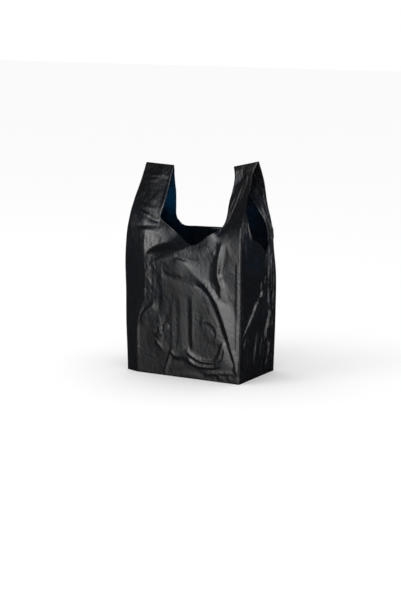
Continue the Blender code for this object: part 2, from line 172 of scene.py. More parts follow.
# Creases of the front and both its handle strips: a height in millimetres, and places (across, up).
# A panel's depth scales its heights, and its sink lowers them.
FRONT_CREASES_MM = [
    # under the mouth
    (3, [(32, 267), (45, 268), (60, 270), (80, 276), (100, 281), (120, 282), (140, 283), (155, 287),
        (172, 297), (188, 307)]),
    (-2, [(60, 285), (80, 292), (100, 300), (125, 303)]),
    (0, [(50, 276), (70, 281), (90, 288), (110, 290), (135, 290)]),
    (1, [(38, 5), (36, 40), (34, 80), (34, 105), (38, 130), (42, 165), (42, 185), (46, 205), (44, 225),
        (40, 243), (36, 258)]),
    (.5, [(47, 5), (47, 50), (46, 90), (45, 110)]),
    (1, [(42, 252), (60, 249), (80, 244), (90, 238)]),
    (0, [(48, 240), (62, 236), (76, 232)]),
    (1, [(48, 200), (65, 200), (82, 198)]),
    (1, [(45, 182), (62, 180), (80, 180)]),
    (0, [(52, 222), (64, 213), (82, 209)]),
    (0, [(50, 190), (66, 190), (82, 188)]),
    (-1, [(86, 222), (86, 205), (87, 190), (88, 170), (92, 152)]),
    (1, [(101, 236), (102, 215), (103, 200), (106, 185), (104, 165), (103, 150)]),
    (0, [(80, 226), (90, 234), (100, 238), (110, 237.5), (120, 235), (135, 230), (152, 225)]),
    (2, [(104, 256), (112, 250), (125, 243), (140, 234), (155, 226)]),
    (-1, [(106, 229), (120, 224), (140, 219), (160, 214)]),
    (0, [(160, 214), (175, 208), (188, 206), (200, 202)]),
    (0, [(157, 225), (157, 205), (160, 190)]),
    (0, [(130, 212), (128, 190), (126, 170)]),
    # the long fold to the lower right corner
    (4, [(140, 262), (160, 259), (175, 243), (187, 231), (200, 221), (212, 212), (220, 205), (232, 190),
        (240, 179), (247, 165), (255, 145), (262, 125), (269, 105), (274, 85), (280, 65), (285, 45),
        (288, 25)]),
    (-2, [(188, 209), (200, 203), (215, 194), (225, 186), (235, 175), (240, 160), (246, 142), (252, 122),
        (260, 97), (267, 77), (275, 60), (282, 40)]),
    (-1, [(140, 271), (160, 266), (175, 263), (195, 264), (210, 276), (220, 287), (237, 305)]),
    (2, [(160, 278), (180, 284), (200, 292), (215, 300), (230, 309), (245, 316), (252, 314)]),
    (1, [(180, 270), (195, 272), (206, 281), (214, 291)]),
    # under the right handle
    (-1, [(240, 292), (230, 275), (221, 255), (220, 232), (225, 212), (236, 203), (246, 190)]),
    (4, [(250, 304), (246, 280), (244, 258), (244, 240), (247, 225), (252, 210), (250, 195)]),
    (1, [(232, 285), (236, 262), (234, 238), (238, 216)]),
    (0, [(262, 300), (258, 275), (251, 250), (246, 238)]),
    (0, [(254, 229), (262, 220), (270, 208), (277, 194)]),
    (1, [(238, 188), (248, 184), (258, 184), (268, 188), (277, 194)]),
    (0, [(256, 178), (268, 178), (276, 168)]),
    (1, [(250, 244), (256, 252), (266, 264), (280, 280)]),
    (1, [(252, 239), (262, 243), (280, 246)]),
    (0, [(256, 232), (266, 226), (280, 222)]),
    (1, [(262, 300), (268, 285), (272, 268), (274, 255)]),
    (0, [(266, 325), (272, 305), (278, 290)]),
    (0, [(275, 240), (278, 215), (279, 190), (279, 160)]),
    (0, [(215, 222), (216, 240), (210, 256)]),
    (0, [(284, 262), (284, 200), (284, 150), (283, 100), (284, 75)]),
    (1, [(288, 262), (288, 200), (288, 150), (288, 100), (288, 60)]),
    # beside the left margin
    (-1, [(40, 120), (43, 138), (50, 150), (60, 154), (68, 156)]),
    (2, [(45, 120), (48, 134), (57, 143), (68, 150), (78, 152)]),
    (1, [(90, 146), (92, 125), (86, 106)]),
    (0, [(64, 128), (66, 110), (62, 90)]),
    (0, [(60, 70), (66, 50), (66, 25)]),
    (0, [(86, 50), (88, 30), (86, 10)]),
    (2, [(117, 112), (108, 100), (100, 88), (96, 80)]),
    (2, [(83, 93), (90, 87), (97, 94)]),
    (2, [(85, 77), (92, 72), (97, 67), (101, 60)]),
    (0, [(88, 83), (95, 78), (104, 92), (112, 104)]),
    (1, [(98, 154), (103, 143), (109, 152), (116, 160)]),
    (-1, [(112, 132), (106, 122), (102, 112), (98, 102)]),
    # the lower half
    (0, [(118, 165), (118, 130), (118, 95), (118, 62)]),
    (1, [(127, 165), (127, 120), (127, 75)]),
    (0, [(136, 170), (136, 120), (136, 75)]),
    (1, [(148, 175), (148, 120), (148, 75)]),
    (0, [(158, 178), (159, 140), (160, 105), (161, 72)]),
    (-1, [(166, 180), (166, 130), (167, 90), (171, 68)]),
    (1, [(178, 185), (178, 150), (178, 110), (178, 75), (183, 57)]),
    (0, [(196, 185), (196, 150), (196, 110), (197, 65)]),
    (0, [(212, 185), (214, 170), (216, 150)]),
    (2, [(200, 128), (210, 132), (222, 131), (232, 125), (239, 114), (240, 100), (234, 88)]),
    (0, [(207, 126), (219, 125), (229, 118), (234, 106)]),
    (1, [(214, 113), (225, 109), (234, 103)]),
    (1, [(214, 104), (226, 99), (233, 96)]),
    (1, [(220, 160), (228, 148), (237, 137), (243, 128)]),
    (0, [(210, 90), (222, 82), (232, 78)]),
    (3, [(166, 61), (175, 54), (185, 47), (200, 42.5), (217, 41.5), (235, 43), (245, 52), (250, 66),
        (253, 82), (256, 87)]),
    (0, [(178, 46), (190, 38.5), (200, 36.5), (217, 35.5), (232, 37), (242, 43), (249, 53), (254, 68)]),
    (3, [(165, 49), (172, 40), (185, 33), (200, 31), (217, 30.5), (235, 33), (247, 41), (256, 54),
        (259, 70), (259, 86)]),
    (0, [(186, 60), (200, 51), (217, 49), (232, 52), (240, 63), (244, 80)]),
    (3, [(120, 56), (125, 55), (132, 48), (142, 47), (152, 51), (160, 57), (166, 61)]),
    (1, [(120, 56), (121, 45), (113, 25), (105, 4)]),
    (0, [(126, 47), (124, 38), (119, 20), (113, 4)]),
    (0, [(134, 38), (146, 36), (158, 38)]),
    (1, [(125, 17), (150, 27), (172, 31), (188, 28), (203, 18)]),
    (0, [(130, 11), (148, 16), (168, 19), (190, 17), (207, 12)]),
    (1, [(150, 4), (172, 8), (196, 6)]),
    (1, [(207, 27), (230, 27), (255, 29), (278, 32)]),
    (2, [(212, 14), (230, 18), (250, 21), (270, 23), (287, 25)]),
    (2, [(243, 14), (252, 16), (262, 17), (275, 20), (290, 20)]),
    (1, [(244, 14), (246, 2)]),
    (1, [(254, 11), (262, 6), (272, 10), (286, 5)]),
    (0, [(214, 8), (230, 10), (238, 4)]),
    # the left strip
    (0, [(8, 260), (8, 200), (8, 150), (8, 100), (10, 20)]),
    (0, [(20, 262), (21, 200), (20, 150), (20, 100), (21, 20)]),
    (0, [(30, 250), (31, 200), (29, 150), (29, 110)]),
    (0, [(6, 121), (12, 119), (17, 112)]),
    # the left handle
    (1, [(24, 283), (27, 300), (28, 318)]),
    (3, [(44, 276), (44, 300), (46, 322)]),
    (1, [(62, 286), (64, 302), (66, 320)]),
    (1, [(76, 296), (78, 310), (78, 324)]),
    (0, [(92, 300), (94, 312), (92, 324)]),
    (-1, [(30, 331), (42, 336), (60, 339), (84, 336), (98, 328)]),
    (2, [(32, 327), (50, 329), (70, 329), (86, 327)]),
    (3, [(10, 364), (25, 360), (45, 354), (62, 346), (74, 341), (80, 342)]),
    (0, [(18, 352), (40, 346), (60, 339)]),
    (2, [(14, 373), (32, 372), (46, 369), (62, 362)]),
    (1, [(8, 340), (10, 320), (9, 300)]),
    (1, [(10, 422), (40, 421), (60, 421), (76, 421)]),
    (0, [(0, 432), (20, 434), (40, 438), (56, 439)]),
    (2, [(2, 446), (30, 445), (55, 448), (75, 447)]),
    (2, [(44, 466), (52, 456), (60, 449)]),
    (0, [(40, 474), (45, 462), (50, 450)]),
    (1, [(64, 474), (67, 462), (70, 450)]),
    (0, [(14, 472), (18, 460), (24, 451)]),
    (0, [(73, 445), (73, 430), (73, 410), (74, 385)]),
    (0, [(66, 418), (66, 400), (66, 380)]),
    (0, [(8, 416), (20, 408), (34, 402), (42, 388)]),
    (0, [(52, 416), (52, 396), (50, 376)]),
    (0, [(6, 404), (18, 396), (24, 384)]),
    # the right handle
    (1, [(240, 476), (243, 464), (247, 455), (252, 447)]),
    (0, [(262, 476), (256, 462), (252, 447)]),
    (1, [(270, 474), (264, 455), (260, 440)]),
    (1, [(282, 455), (284, 435), (281, 418)]),
    (0, [(289, 462), (290, 440), (288, 420), (285, 402)]),
    (2, [(276, 470), (276, 440), (273, 415), (268, 395), (264, 375), (254, 358)]),
    (0, [(252, 440), (253, 420), (252, 403)]),
    (1, [(242, 402), (250, 394), (258, 400)]),
    (1, [(246, 384), (254, 376), (262, 371)]),
    (1, [(250, 342), (262, 347), (275, 353), (291, 362)]),
    (0, [(262, 356), (272, 366), (283, 378), (291, 392)]),
    # level with the welds
    (0, [(0, 477), (295, 477)]),
]
FRONT_DEPTH = 0.75
# Creases of the right gusset: (across, up, height) in millimetres
RIGHT_CREASES_MM = [
    [(18, 3, 0), (22, 74, 1), (19, 185, 1.5), (16, 269, 1)],
    [(105, 278, 3), (108, 238, 4), (106, 193, 3.5), (90, 173, 3), (67, 146, 2.5), (49, 118, 1.5),
        (31, 83, 0)],
    [(84, 275, 0), (85, 230, 0), (81, 193, 0), (58, 165, 0), (35, 134, 0)],
    [(134, 265, 3), (137, 211, 4), (135, 166, 4), (136, 136, 4)],
    [(120, 267, .5), (120, 202, 0), (124, 157, .5)],
    [(136, 136, 4), (129, 117, 2.5), (120, 96, 3)],
    [(136, 136, 4), (156, 110, .5)],
    [(120, 96, 3), (156, 110, .5)],
    [(100, 172, 1), (101, 104, 2), (92, 60, 2), (88, 11, .5)],
    [(120, 94, 2), (106, 58, 3), (100, 13, 1)],
    [(134, 87, -1), (125, 50, 1.5), (116, 6, 1)],
    [(113, 100, 0), (112, 60, 0), (106, 20, 0)],
    [(128, 96, 3.5), (140, 84, 1), (130, 76, 3), (146, 68, .5), (134, 58, 3), (150, 50, 1)],
    [(10, 270, 2), (40, 262, 3), (70, 268, 1), (96, 262, 1.5)],
    [(20, 262, 0), (50, 250, 0), (78, 258, 0)],
    # the back layer of the right handle
    [(141, 345, 3.5), (143, 385, 4), (147, 420, 3.5), (150, 455, 1)],
    [(132, 345, .5), (132, 385, 0), (134, 420, 0)],
    [(152, 345, .5), (153, 385, 0), (155, 420, 0)],
    [(108, 330, 2.5), (116, 370, 2.5), (122, 410, 1.5)],
    [(0, 477, 0), (162, 477, 0)],
]
RIGHT_DEPTH = 0.6
RIGHT_SINK_MM = 0.8

# Folds that stand up from a panel. Each vertex has its place across and up the panel, the fold's
# height, and how far its two sides reach: the side on the left hand of the way the fold is drawn,
# then the other one. All are in millimetres.
FRONT_FOLDS_MM = [
    # the long fold to the lower right corner
    [(290, 14, 0, 4, 8), (288, 25, 1.3, 4, 10), (285, 45, 2.2, 5, 14), (280, 65, 3.2, 8, 18),
        (274, 85, 4.2, 11, 24), (269, 105, 5, 13, 28), (262, 125, 5.6, 14, 30), (255, 145, 5.6, 14, 30),
        (247, 165, 5.4, 14, 30), (240, 179, 4.8, 14, 30), (232, 190, 3.8, 13, 28),
        (220, 205, 2.4, 12, 20), (206, 216, 0, 10, 14)],
    # the lens beside the right handle's foot
    [(250, 195, 0, 8, 6), (252, 210, 1.6, 12, 7), (247, 225, 2.8, 14, 8), (244, 240, 3.2, 15, 8),
        (244, 258, 3.2, 15, 8), (246, 280, 2.4, 12, 8), (250, 304, 0, 8, 6)],
    # the two curved folds above the base
    [(160, 60, 0, 4, 4), (166, 61, 1.2, 5, 6), (175, 54, 1.9, 5, 6), (185, 47, 2, 5, 6),
        (200, 42.5, 2, 5, 6), (217, 41.5, 2, 5, 6), (235, 43, 2, 5, 6), (245, 52, 2, 5, 6),
        (250, 66, 1.8, 5, 6), (253, 82, 1.4, 5, 6), (256, 90, 0, 4, 4)],
    [(165, 49, 0, 4, 4), (172, 40, 1.6, 5, 6), (185, 33, 1.8, 5, 6), (200, 31, 1.8, 5, 6),
        (217, 30.5, 1.8, 5, 6), (235, 33, 1.8, 5, 6), (247, 41, 1.8, 5, 6), (256, 54, 1.6, 5, 6),
        (259, 70, 1.2, 5, 6), (259, 86, 0, 4, 4)],
    [(120, 56, 0, 4, 4), (125, 55, 1.2, 5, 6), (132, 48, 1.4, 5, 6), (142, 47, 1.4, 5, 6),
        (152, 51, 1.4, 5, 6), (160, 57, 1.4, 5, 6), (166, 61, 0, 4, 4)],
    [(105, 4, 0, 4, 4), (113, 25, 1.4, 6, 4), (121, 45, 1.4, 6, 4), (120, 58, 0, 4, 4)],
    [(212, 14, 0, 4, 4), (230, 18, 1.4, 5, 5), (250, 21, 1.4, 5, 5), (270, 23, 1.2, 5, 5),
        (288, 25, 0, 4, 4)],
    # below the mouth and across the left side
    [(42, 250, 0, 6, 8), (70, 250, 1.4, 7, 8), (100, 262, 1.4, 7, 10), (130, 270, 0, 6, 10)],
    [(80, 226, 0, 4, 5), (90, 234, .8, 5, 6), (100, 238, .8, 5, 7), (110, 237.5, .8, 5, 7),
        (120, 235, 1, 5, 7), (135, 230, .8, 5, 7), (152, 225, 0, 4, 5)],
    [(43, 108, 0, 7, 18), (46, 130, 2.4, 8, 26), (56, 143, 2.8, 9, 28), (72, 154, 2, 9, 22),
        (84, 168, 0, 7, 12)],
    [(42, 150, 0, 7, 20), (44, 175, 1.8, 8, 26), (44, 215, 2.2, 8, 30), (43, 240, 2, 8, 26),
        (38, 262, 0, 6, 20)],
    [(38, 30, 0, 5, 5), (38, 60, 1, 6, 5), (37, 112, 1, 6, 5), (38, 128, 0, 5, 5)],
    [(70, 250, 0, 4, 5), (64, 240, 1.4, 5, 6), (52, 236, 1.4, 5, 6), (48, 226, 0, 4, 5)],
    [(64, 226, 0, 4, 5), (56, 218, 1.4, 5, 6), (66, 208, 1.4, 5, 6), (56, 198, 0, 4, 5)],
    [(86, 152, 0, 5, 6), (87, 185, 1.2, 6, 7), (86, 215, 0, 5, 6)],
    # the left handle
    [(10, 364, 0, 5, 8), (25, 360, 2.6, 8, 10), (45, 354, 3.2, 8, 11), (62, 346, 3, 8, 10),
        (80, 341, 0, 6, 8)],
    [(26, 328, 0, 8, 8), (45, 332, -2.6, 9, 9), (70, 333, -2.6, 9, 9), (98, 326, 0, 8, 8)],
    [(22, 322, 0, 6, 8), (50, 322, 1.8, 6, 10), (78, 318, 1.4, 6, 10), (96, 310, 0, 5, 8)],
    [(44, 280, 0, 6, 8), (44, 300, 1.6, 7, 9), (46, 320, 0, 6, 8)],
    [(62, 284, 0, 5, 6), (64, 302, 1.2, 6, 6), (66, 318, 0, 5, 6)],
    [(0, 432, 0, 4, 6), (20, 434, 1.2, 5, 7), (40, 438, 1.4, 5, 7), (56, 439, 0, 4, 6)],
    [(2, 450, 0, 5, 5), (30, 449, 1.2, 5, 6), (55, 451, 1.2, 5, 6), (78, 449, 0, 5, 5)],
    [(30, 474, 0, 4, 5), (44, 466, 1.2, 5, 5), (52, 456, 1.2, 5, 5), (60, 449, 0, 4, 5)],
    [(74, 350, 0, 3, 4), (74, 380, .9, 3, 5), (74, 430, .9, 3, 5), (74, 448, 0, 3, 4)],
    [(14, 385, 0, 4, 6), (28, 377, 1.4, 5, 7), (48, 373, 1.4, 5, 7), (64, 366, 0, 4, 6)],
    [(8, 412, 0, 4, 6), (30, 404, 1.2, 5, 7), (46, 392, 1.2, 5, 7), (60, 384, 0, 4, 6)],
    # the right handle
    [(238, 440, 0, 4, 16), (239, 452, 2.4, 4, 26), (240, 470, 3, 4, 28), (240, 478, 3, 4, 28)],
    [(252, 356, 0, 8, 7), (258, 372, 1.6, 8, 8), (266, 395, 2, 9, 8), (273, 425, 2, 9, 8),
        (277, 450, 1.2, 8, 8), (279, 466, 0, 6, 6)],
    [(244, 366, 0, 6, 5), (250, 384, 1.2, 6, 6), (254, 400, 1.2, 6, 6), (256, 412, 0, 5, 5)],
    # the upright folds
    [(178, 70, 0, 5, 5), (178, 100, .8, 6, 5), (178, 150, .8, 6, 5), (178, 185, 0, 5, 5)],
    [(288, 40, 0, 4, 4), (288, 80, .6, 4, 4), (288, 250, .6, 4, 4), (288, 275, 0, 4, 4)],
    # the crumple in the middle
    [(101, 58, 0, 4, 4), (96, 66, 1.3, 4, 4), (86, 74, 1.3, 4, 4), (97, 80, 1.3, 4, 4),
        (86, 90, 1.3, 4, 4), (100, 96, 1.3, 4, 4), (92, 104, 1, 4, 4), (108, 104, 1.3, 4, 4),
        (104, 112, 1.3, 4, 4), (117, 116, 0, 4, 4)],
]
RIGHT_FOLDS_MM = [
    [(88, 150, 0, 5, 14), (86, 163, 1.7, 5, 14), (79, 217, 2, 5, 14), (75, 257, 1.9, 5, 12),
        (74, 270, 0, 5, 10)],
    [(129, 150, 0, 5, 12), (125, 165, 1.8, 5, 12), (115, 212, 2.2, 5.5, 14), (102, 281, 2, 5, 12),
        (101, 292, 0, 5, 10)],
    [(113, 95, 0, 8, 8), (128, 112, 3, 9, 10), (131, 144, 0, 5, 8)],
    [(130, 95, 0, 8, 6), (150, 111, 3.8, 11, 6), (140, 130, 2, 8, 6), (131, 146, 0, 5, 6)],
    [(14, 100, 0, 5, 12), (18, 106, 1.8, 5, 12), (45, 132, 2.6, 6, 14), (80, 182, 2.5, 6, 12),
        (86, 192, 0, 5, 10)],
    [(116, 8, 0, 5, 8), (129, 30, 2, 5, 10), (141, 63, 2, 5, 10), (120, 94, 2, 5, 8),
        (118, 100, 0, 5, 8)],
    [(91, 20, 0, 5, 8), (93, 56, 1.7, 5, 10), (100, 85, 1.7, 5, 8), (104, 96, 0, 5, 8)],
    [(108, 20, 0, 5, 8), (112, 48, 1.8, 5, 8), (106, 70, 1.8, 5, 8), (110, 84, 0, 5, 8)],
    [(152, 110, 0, 5, 6), (149, 164, 1.5, 5, 6), (147, 250, 1.5, 5, 6), (147, 265, 0, 5, 6)],
    [(60, 196, 0, 4, 8), (58, 226, 1.6, 4, 9), (55, 262, 1.5, 4, 9), (54, 276, 0, 4, 8)],
    [(92, 176, 0, 4, 8), (90, 215, 1.7, 4, 9), (87, 268, 1.6, 4, 8), (86, 282, 0, 4, 8)],
    [(66, 22, 0, 5, 10), (70, 60, 1.7, 5, 10), (78, 112, 1.7, 5, 10), (82, 138, 0, 5, 8)],
    [(10, 62, 0, 5, 9), (24, 84, 1.8, 5, 10), (30, 104, 1.6, 5, 9), (34, 116, 0, 5, 8)],
    # round the slot
    [(47, 312, 0, 4, 6), (46, 322, 1, 3, 6), (46, 345, 1, 3, 6), (47, 352, 0, 4, 6)],
    [(148, 292, 0, 10, 8), (150, 305, 4.5, 13, 8), (150, 325, 4.5, 13, 8), (148, 342, 0, 10, 8)],
    # the back layer of the right handle
    [(100, 375, 0, 5, 10), (100, 385, .6, 5, 12), (100, 400, 1.3, 5, 12), (100, 420, 2.4, 5, 12),
        (100, 435, 0, 5, 10)],
    [(138, 372, 0, 14, 6), (138, 380, .4, 14, 6), (137, 400, 1.4, 14, 6), (136, 420, 2.4, 14, 6),
        (135, 440, 3, 14, 6), (135, 457, 0, 12, 6)],
]

# Facets of the film: size across and up in millimetres, turn, seed, and height in metres
LARGE_FACETS = (30, 70, 4, 1, 0.0011)
MIDDLE_FACETS = (13, 27, -8, 2, 0.0005)
SMALL_FACETS = (6.5, 9.5, 17, 3, 0.00006)
FRONT_ROUGH_FACETS = (5.5, 6.5, 25, 4, 0.0011)
RIGHT_ROUGH_FACETS = (6, 10, -12, 5, 0.0009)
HANDLE_FACETS = (19, 26, 6, 6, 0.0006)
SMALL_HANDLE_FACETS = (9, 7, -14, 7, 0.0003)
FACET_TABLE = 64
# Their edges bend by this share of a facet, in waves of about this many to a facet
FACET_BEND = 0.45
FACET_BEND_SCALE = 0.9
# The front shows its drawn creases, so it has no large facets and only this share of the middle ones
FRONT_MIDDLE_SHARE = 0.12
RIGHT_HANDLE_SHARE = 0.3
# Rough patches: their middle across and up, their reach across and up in millimetres, and strength
FRONT_ROUGH = [(70, 250, 30, 16, 1), (98, 104, 22, 34, 1), (258, 12, 42, 18, 0.8),
               (60, 190, 30, 60, 0.5)]
RIGHT_ROUGH = [(133, 55, 24, 60, 1)]
# Body facets end below the first height and handle facets start above the second one. Facets fade
# out beside folds, the foot and the weld, and between body and handles.
BODY_TOP_MM = 330
HANDLE_FOOT_MM = 316
EDGE_FADE_MM = 12
FOOT_FADE_MM = 20
HANDLE_WELD_FADE_MM = 14
# The front's crease relief fades to a share of itself between these two heights
HANDLE_FADE_MM = (318, 350)
HANDLE_CREASE_SHARE = 0.4
# The cut edges curl outwards: reach in millimetres, height, and how the height varies along them
CURL_REACH_MM = 3.2
CURL_HEIGHT = 0.0014
CURL_MEAN = 0.9
CURL_WAVES = (24, 30, 0, 8, 0.7)

# The relief is drawn tight on ever finer grids
RELIEF_CELLS_MM = (12.0, 6.0, 3.0, 1.5)
RELIEF_TURNS = 260


def spline(t, points):
    """Smooth curve through points (t, x, y, z), straight on past its ends."""
    data = np.array(points, float)
    knots, values = data[:, 0], data[:, 1:]
    steps = np.diff(knots)[:, None]
    slopes = np.diff(values, axis=0) / steps
    tangents = np.vstack([slopes[:1], (slopes[1:] + slopes[:-1]) / 2, slopes[-1:]])
    index = np.clip(np.searchsorted(knots, t, side="right") - 1, 0, len(knots) - 2)
    width = steps[index]
    f = (t - knots[index])[:, None] / width
    inside = np.clip(f, 0.0, 1.0)
    start_value = 2 * inside**3 - 3 * inside**2 + 1
    start_slope = inside**3 - 2 * inside**2 + inside
    end_value = -2 * inside**3 + 3 * inside**2
    end_slope = inside**3 - inside**2
    curve = start_value * values[index] + start_slope * width * tangents[index]
    curve += end_value * values[index + 1] + end_slope * width * tangents[index + 1]
    edge = np.where(f < 0, tangents[index], tangents[index + 1])
    return curve + (f - inside) * width * edge


class Pattern:
    """The grid of columns round the tube and rows up it."""

    def __init__(self):
        guides = []
        start = 0.0
        columns = [0.0]
        self.panel_starts = []
        self.guide_columns = []
        for panel, width in PANELS:
            self.panel_starts.append(len(columns) - 1)
            for place, count, points in panel:
                s = start + place
                if count:
                    gap = s - columns[-1]
                    columns += list(columns[-1] + gap * (np.arange(count) + 1) / count)
                points = FRONT_GUIDES[0][2] if points is None else points
                guides.append([point if len(point) == 4 else (*point, point[0]) for point in points])
                self.guide_columns.append(len(columns) - 1)
            start += width
        self.s = np.array(columns[:-1])
        self.count = len(self.s)
        self.t = np.arange(ROWS + 1) * ROW_STEP
        self.points = self.between_guides(np.array([spline(self.t, points) for points in guides]))

    def between_guides(self, lines):
        """Every column's line up the film, straight between the guides at its two sides."""
        places = np.arange(self.count)
        upper = np.searchsorted(self.guide_columns, places, side="right")
        first = np.array(self.guide_columns)[upper - 1]
        last = np.array(self.guide_columns)[upper]
        share = ((places - first) / (last - first))[:, None, None]
        points = lines[upper - 1] * (1 - share) + lines[upper] * share
        return points.transpose(1, 0, 2).copy()

    def panel_start(self, panel):
        return self.s[self.panel_starts[panel]]

    def column_at(self, panel, place):
        """The column at a place across a panel."""
        return int(np.argmin(np.abs(self.s - (self.panel_start(panel) + place))))


def soften_between_folds(pattern):
    """Round the film between its folds and cut edges, which stay where the guides put them."""
    points = pattern.points
    free = np.ones((ROWS + 1, pattern.count, 1))
    free[:, pattern.panel_starts] = 0.0
    free[pattern.t < MARGIN_FOLD_TOP, pattern.guide_columns[1]] = 0.0
    for panel, cut in CUTS:
        for place, t in (cut[0], cut[-1]):
            free[pattern.t > t - HELD_BELOW_CUT, pattern.column_at(panel, place)] = 0.0
    for turn in range(TURNS_ACROSS):
        around = (np.roll(points, 1, axis=1) + np.roll(points, -1, axis=1)) / 2
        points += free * 0.5 * (around - points)
    for turn in range(TURNS_UP):
        points[1:-1] += 0.25 * (points[2:] + points[:-2] - 2 * points[1:-1])


def resample(field, shape):
    """Stretch a field over a grid of another shape."""
    rows = np.linspace(0, field.shape[0] - 1, shape[0])
    columns = np.linspace(0, field.shape[1] - 1, shape[1])
    tall = np.array([np.interp(rows, np.arange(field.shape[0]), line) for line in field.T]).T
    return np.array([np.interp(columns, np.arange(field.shape[1]), line) for line in tall])


def mean_around(field):
    """The mean of the four cells round each cell."""
    padded = np.pad(field, 1, mode="edge")
    return (padded[2:, 1:-1] + padded[:-2, 1:-1] + padded[1:-1, 2:] + padded[1:-1, :-2]) / 4


class Relief:
    """Film drawn tight over its creases: how far each place of a panel stands out."""

    def __init__(self, width_mm, creases_mm, depth, sink_mm=0):
        creases_mm = [[(x, y, h * depth - sink_mm) for x, y, h in crease] for crease in creases_mm]
        field = np.zeros((3, 3))
        for cell in RELIEF_CELLS_MM:
            shape = (int(round(PATTERN_HEIGHT_MM / cell)) + 1, int(round(width_mm / cell)) + 1)
            field = resample(field, shape)
            held = np.zeros(shape, bool)
            held[0] = held[:, 0] = held[:, -1] = True
            field[held] = 0.0
            for crease in creases_mm:
                self.mark(crease, cell, field, held)
            for turn in range(RELIEF_TURNS):
                field = np.where(held, field, mean_around(field))
        self.field = (field + mean_around(field)) / 2
        self.cell = cell

    def mark(self, crease, cell, field, held):
        """Hold the cells under a crease at its height."""
        for (x0, y0, h0), (x1, y1, h1) in zip(crease, crease[1:]):
            steps = max(2, int(math.hypot(x1 - x0, y1 - y0) / cell * 2))
            for step in range(steps + 1):
                f = step / steps
                row = int(round((y0 + (y1 - y0) * f) / cell))
                column = int(round((x0 + (x1 - x0) * f) / cell))
                if 0 <= row < field.shape[0] and 0 <= column < field.shape[1]:
                    held[row, column] = True
                    field[row, column] = h0 + (h1 - h0) * f

    def at(self, x_mm, y_mm):
        """The relief in millimetres at places across and up the panel."""
        column = np.clip(x_mm / self.cell, 0, self.field.shape[1] - 1.001)
        row = np.clip(y_mm / self.cell, 0, self.field.shape[0] - 1.001)
        c, r = column.astype(int), row.astype(int)
        fc, fr = column - c, row - r
        low = self.field[r, c] * (1 - fc) + self.field[r, c + 1] * fc
        high = self.field[r + 1, c] * (1 - fc) + self.field[r + 1, c + 1] * fc
        return low * (1 - fr) + high * fr


def standing_folds(x_mm, y_mm, folds_mm):
    """Folds with straight sides: how far each place stands out because of them, in millimetres."""
    out = np.zeros_like(x_mm)
    for fold in folds_mm:
        nearest = np.full(x_mm.shape, np.inf)
        rise = np.zeros_like(x_mm)
        for (x0, y0, h0, left0, right0), (x1, y1, h1, left1, right1) in zip(fold, fold[1:]):
            run, climb = x1 - x0, y1 - y0
            along = ((x_mm - x0) * run + (y_mm - y0) * climb) / (run ** 2 + climb ** 2)
            along = np.clip(along, 0, 1)
            off_x, off_y = x_mm - (x0 + along * run), y_mm - (y0 + along * climb)
            away = np.hypot(off_x, off_y)
            on_left = run * off_y - climb * off_x > 0
            reach = np.where(on_left, left0 + (left1 - left0) * along,
                             right0 + (right1 - right0) * along)
            height = (h0 + (h1 - h0) * along) * np.clip(1 - away / reach, 0, 1)
            rise = np.where(away < nearest, height, rise)
            nearest = np.minimum(nearest, away)
        out += rise
    return out


def facets(x, y, size_x, size_y, turn, seed, height):
    """Random flat facets with straight creases between them, from -height to height."""
    table = np.random.default_rng(seed).uniform(-1, 1, (3, FACET_TABLE, FACET_TABLE))
    a = math.radians(turn)
    u = (x * math.cos(a) + y * math.sin(a)) / size_x
    v = (y * math.cos(a) - x * math.sin(a)) / size_y

    def pick(layer, i, j):
        return table[layer, i % FACET_TABLE, j % FACET_TABLE]

    def cell_of(p, q):
        i, j = np.floor(p).astype(int), np.floor(q).astype(int)
        return i, j, p - i, q - j

    def smooth(layer, p, q):
        i, j, f, g = cell_of(p, q)
        f, g = f * f * (3 - 2 * f), g * g * (3 - 2 * g)
        low = pick(layer, i, j) * (1 - f) + pick(layer, i + 1, j) * f
        high = pick(layer, i, j + 1) * (1 - f) + pick(layer, i + 1, j + 1) * f
        return low * (1 - g) + high * g

    bend = [smooth(layer, u * FACET_BEND_SCALE, v * FACET_BEND_SCALE) for layer in (0, 1)]
    i, j, f, g = cell_of(u + FACET_BEND * bend[0], v + FACET_BEND * bend[1])
    h00, h10 = pick(2, i, j), pick(2, i + 1, j)
    h01, h11 = pick(2, i, j + 1), pick(2, i + 1, j + 1)
    falling = np.where(f + g < 1, h00 + f * (h10 - h00) + g * (h01 - h00),
                       h11 + (1 - f) * (h01 - h11) + (1 - g) * (h10 - h11))
    rising = np.where(f > g, h00 + f * (h10 - h00) + g * (h11 - h10),
                      h00 + g * (h01 - h00) + f * (h11 - h01))
    return np.where((i + j) % 2 == 0, falling, rising) * height


def patches(x, y, places):
    """How strong each place is in a list of patches that fall to 0 at their edges."""
    out = np.zeros_like(x)
    for middle_x, middle_y, reach_x, reach_y, strength in places:
        far = ((x - middle_x) / reach_x) ** 2 + ((y - middle_y) / reach_y) ** 2
        out += strength * np.clip(1 - far, 0, 1)
    return out


def ramp(distance, reach):
    """From 0 at no distance to 1 at the reach."""
    return np.clip(distance / reach, 0, 1)


def edge_distance(pattern):
    """How far each place is from the nearest die-cut edge, in millimetres."""
    s, t = np.meshgrid(pattern.s * 1000, pattern.t * 1000)
    far = np.full(s.shape, 1000.0)
    for panel, cut in CUTS:
        places, heights = np.array(cut).T * 1000
        across = s - pattern.panel_start(panel) * 1000
        within = (across >= places[0]) & (across <= places[-1])
        below = np.abs(np.interp(across, places, heights) - t)
        far = np.where(within, np.minimum(far, below), far)
        for place, height in ((places[0], heights[0]), (places[-1], heights[-1])):
            beside = np.hypot(across - place, np.minimum(t - height, 0))
            far = np.where(within, far, np.minimum(far, beside))
    return far


